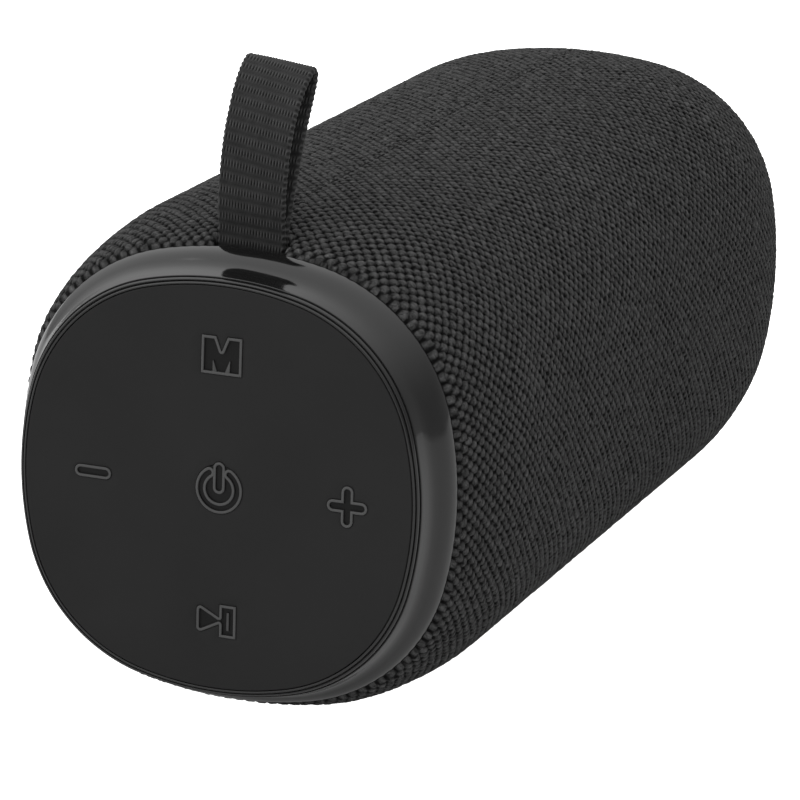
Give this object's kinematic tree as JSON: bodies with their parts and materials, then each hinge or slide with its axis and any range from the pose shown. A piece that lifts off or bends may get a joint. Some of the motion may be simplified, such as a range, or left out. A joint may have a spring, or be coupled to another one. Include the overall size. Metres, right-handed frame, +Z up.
{
  "type": "portable bluetooth speaker",
  "caption": "Barrel-shaped portable bluetooth speaker lying on its side: knit sleeve, glossy end rings, silicone key panel, webbing carry strap, passive radiator and full internals.",
  "frame": {"origin": "on the table, under the middle of the barrel as it lies on its side", "axes": "+Y runs along the barrel from the key panel to the passive radiator, +Z is up through the carry strap, +X is the side that both drivers face"},
  "size_m": [0.08, 0.1888, 0.1026],
  "materials": {
    "knit_fabric": "coarse three-dimensional knit, charcoal black",
    "trim_gloss": "glossy moulded plastic",
    "silicone_black": "matte silicone",
    "webbing": "woven nylon webbing",
    "housing_plastic": "matte moulded plastic",
    "frame_steel": "black painted steel",
    "pole_steel": "zinc plated steel",
    "ferrite": "sintered ferrite",
    "cone_paper": "coated paper cone",
    "soft_rubber": "butyl rubber",
    "spider_cloth": "resin-dipped cloth",
    "foam": "closed-cell foam",
    "cap_satin": "satin plastic",
    "weight_steel": "plated steel",
    "circuit_board": "green solder mask on glass epoxy",
    "component_black": "moulded component bodies",
    "socket_steel": "stamped steel",
    "screw_steel": "black zinc screws",
    "cell_wrap": "shrink-wrapped cell",
    "cradle_plastic": "matte moulded plastic",
    "wire_sheath": "red and black insulated wire",
    "ribbon_film": "flat flexible cable"
  },
  "bodies": {
    "casing": {"fabric_sleeve": "knit_fabric", "front_trim_ring": "trim_gloss", "rear_trim_ring": "trim_gloss", "control_panel": "silicone_black", "panel_carrier": "housing_plastic", "key_board": "circuit_board", "switch_bases": "socket_steel", "board_screws": "screw_steel", "housing_front": "housing_plastic", "housing_back": "housing_plastic", "housing_screws": "screw_steel", "foam_seals": "foam", "driver_grilles": "housing_plastic", "left_driver_frame": "frame_steel", "left_driver_pole_plates": "pole_steel", "left_driver_magnet": "ferrite", "left_driver_surround": "soft_rubber", "left_driver_spider": "spider_cloth", "right_driver_frame": "frame_steel", "right_driver_pole_plates": "pole_steel", "right_driver_magnet": "ferrite", "right_driver_surround": "soft_rubber", "right_driver_spider": "spider_cloth", "driver_screws": "screw_steel", "rear_baffle": "housing_plastic", "radiator_surround": "soft_rubber", "end_ring_screws": "screw_steel", "main_board": "circuit_board", "usb_c_socket": "socket_steel", "aux_jack": "component_black", "card_slot": "socket_steel", "bluetooth_module": "socket_steel", "board_components": "component_black", "microphone": "socket_steel", "port_bezel": "housing_plastic", "battery_cells": "cell_wrap", "battery_cradle": "cradle_plastic", "battery_lead": "wire_sheath", "speaker_leads": "wire_sheath", "key_ribbon": "ribbon_film", "strap_tail": "webbing", "strap_screw": "screw_steel"},
    "strap": {"strap_loop": "webbing"},
    "port_cover": {"port_flap": "soft_rubber"},
    "left_cone": {"left_driver_cone": "cone_paper"},
    "right_cone": {"right_driver_cone": "cone_paper"},
    "passive_radiator": {"radiator_diaphragm": "cone_paper", "radiator_cap": "cap_satin", "radiator_weight": "weight_steel"},
    "button_power": {"key_power": "silicone_black", "switch_plunger_power": "component_black"},
    "button_mode": {"key_mode": "silicone_black", "switch_plunger_mode": "component_black"},
    "button_minus": {"key_minus": "silicone_black", "switch_plunger_minus": "component_black"},
    "button_plus": {"key_plus": "silicone_black", "switch_plunger_plus": "component_black"},
    "button_play": {"key_play": "silicone_black", "switch_plunger_play": "component_black"}
  },
  "joints": [
    {"name": "press_power", "type": "slide", "parent": "casing", "child": "button_power", "axis": [0, 1, 0], "range_m": [0, 0.0005], "stiffness_N_per_m": 1500, "springref_m": -0.0001},
    {"name": "press_mode", "type": "slide", "parent": "casing", "child": "button_mode", "axis": [0, 1, 0], "range_m": [0, 0.0005], "stiffness_N_per_m": 1500, "springref_m": -0.0001},
    {"name": "press_minus", "type": "slide", "parent": "casing", "child": "button_minus", "axis": [0, 1, 0], "range_m": [0, 0.0005], "stiffness_N_per_m": 1500, "springref_m": -0.0001},
    {"name": "press_plus", "type": "slide", "parent": "casing", "child": "button_plus", "axis": [0, 1, 0], "range_m": [0, 0.0005], "stiffness_N_per_m": 1500, "springref_m": -0.0001},
    {"name": "press_play", "type": "slide", "parent": "casing", "child": "button_play", "axis": [0, 1, 0], "range_m": [0, 0.0005], "stiffness_N_per_m": 1500, "springref_m": -0.0001},
    {"name": "left_cone_travel", "type": "slide", "parent": "casing", "child": "left_cone", "axis": [1, 0, 0], "range_m": [-0.002, 0.002], "stiffness_N_per_m": 1200, "deforming": ["left_driver_surround", "left_driver_spider"]},
    {"name": "right_cone_travel", "type": "slide", "parent": "casing", "child": "right_cone", "axis": [1, 0, 0], "range_m": [-0.002, 0.002], "stiffness_N_per_m": 1200, "deforming": ["right_driver_surround", "right_driver_spider"]},
    {"name": "radiator_travel", "type": "slide", "parent": "casing", "child": "passive_radiator", "axis": [0, 1, 0], "range_m": [-0.002, 0.002], "stiffness_N_per_m": 1500, "deforming": ["radiator_surround"]},
    {"name": "strap_swing", "type": "hinge", "parent": "casing", "child": "strap", "pos_m": [0, -0.08303, 0.07835], "axis": [1, 0, 0], "range_deg": [-48, 70], "stiffness_Nm_per_rad": 0.02},
    {"name": "port_cover_swing", "type": "hinge", "parent": "casing", "child": "port_cover", "pos_m": [-0.03985, 0.008, 0.0346], "axis": [0, -1, 0], "range_deg": [0, 110]}
  ]
}
